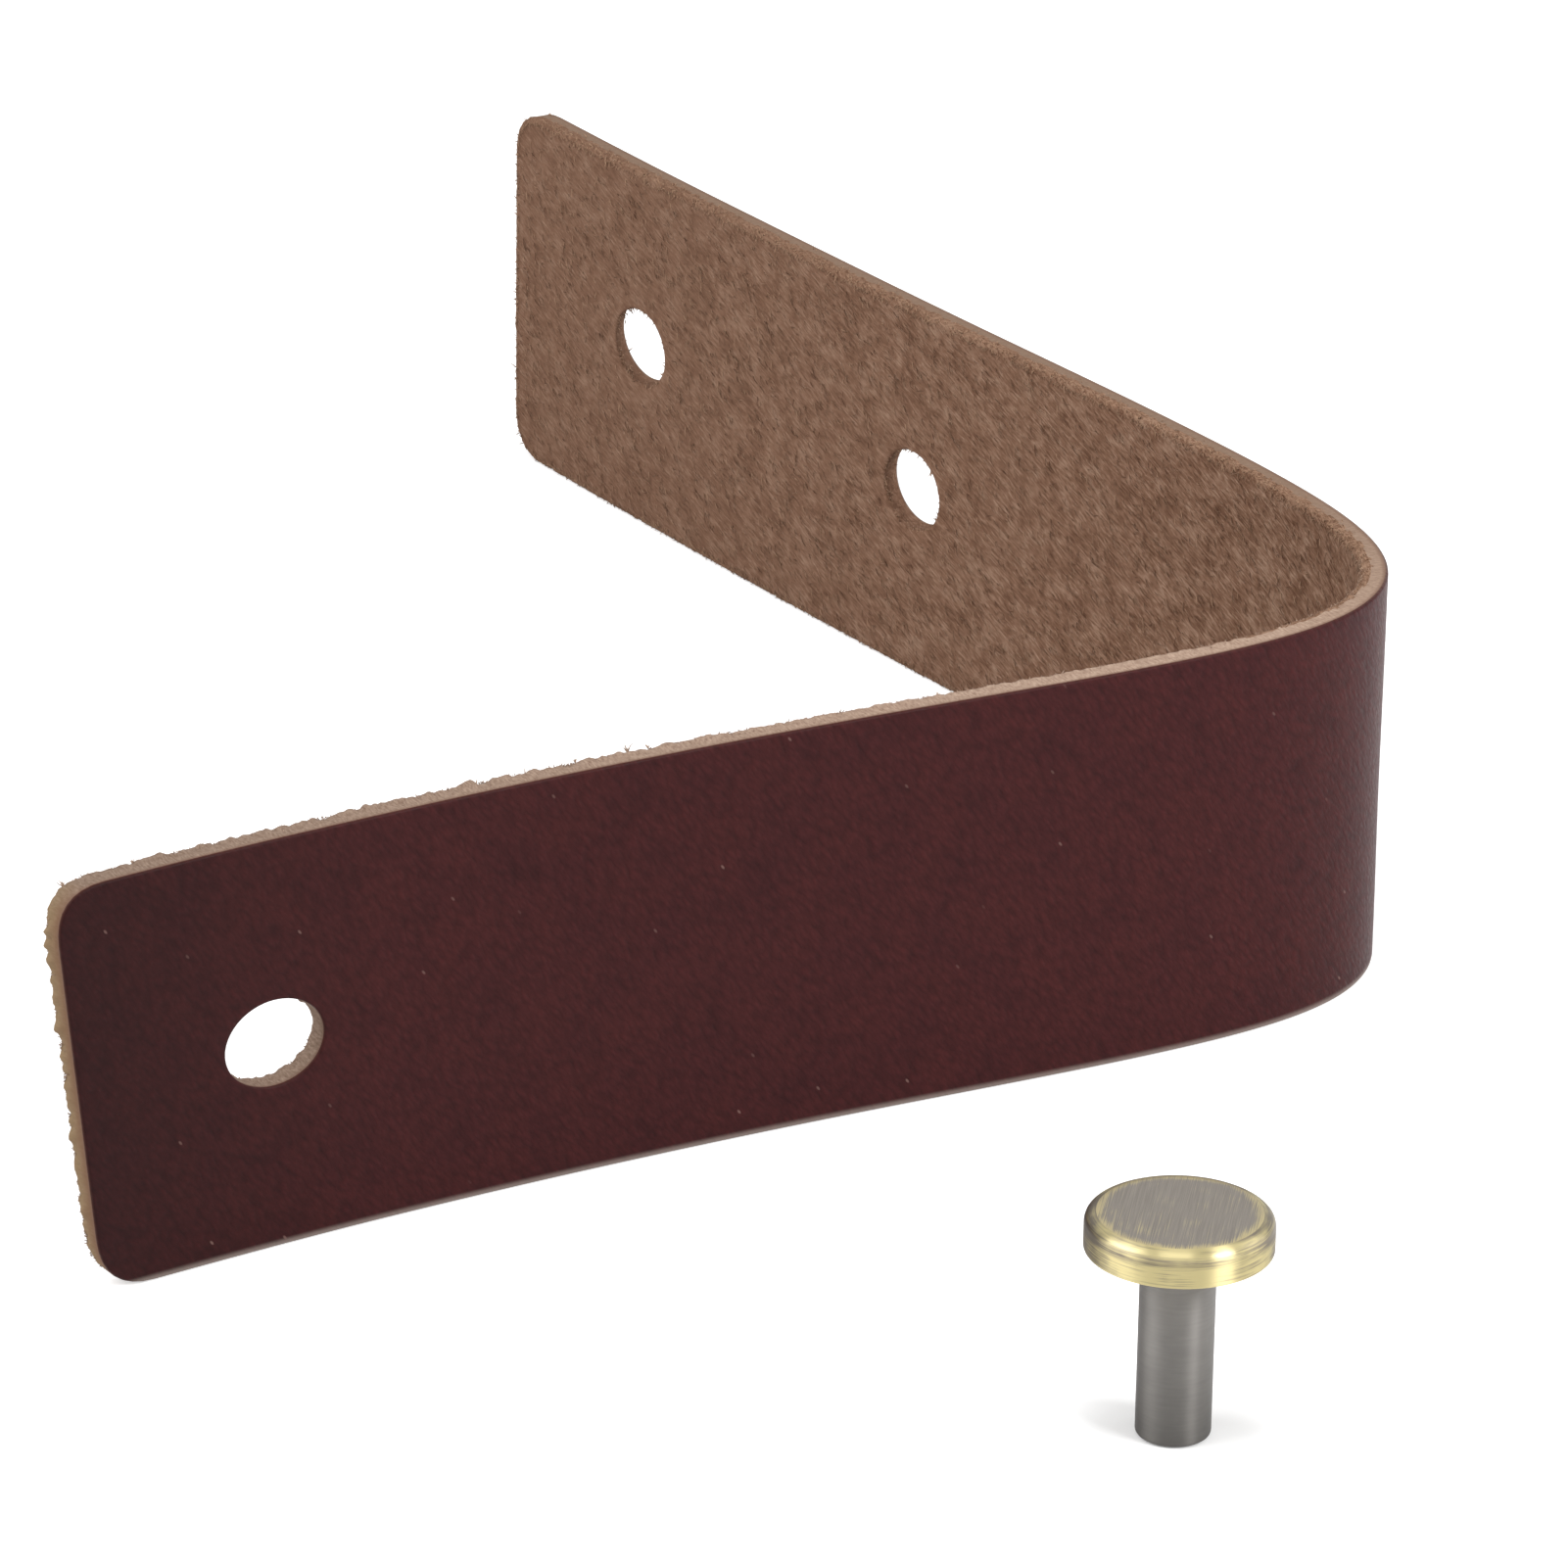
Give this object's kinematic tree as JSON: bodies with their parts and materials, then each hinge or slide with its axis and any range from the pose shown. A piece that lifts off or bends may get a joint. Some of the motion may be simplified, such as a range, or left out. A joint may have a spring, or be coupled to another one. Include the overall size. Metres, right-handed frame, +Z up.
{
  "type": "leather cabinet pull",
  "caption": "Leather strap bent into two legs and punched for its fixing, with the turned stud that clamps it to a door or drawer front.",
  "frame": {"origin": "on the floor, under the middle of the box that holds the strap and the stud", "axes": "+X along the front leg from its free end to the fold, +Y along the back leg from the fold to its free end, +Z up across the strap's width"},
  "size_m": [0.113, 0.1844, 0.03],
  "materials": {
    "strap_leather": "smooth dark burgundy grain side, brown sueded flesh side, raw cut edges",
    "antiqued_brass": "antiqued brass plating, brushed along the head and round its band, matt grey shank"
  },
  "bodies": {
    "root": {"strap": "strap_leather", "stud": "antiqued_brass"}
  },
  "joints": []
}
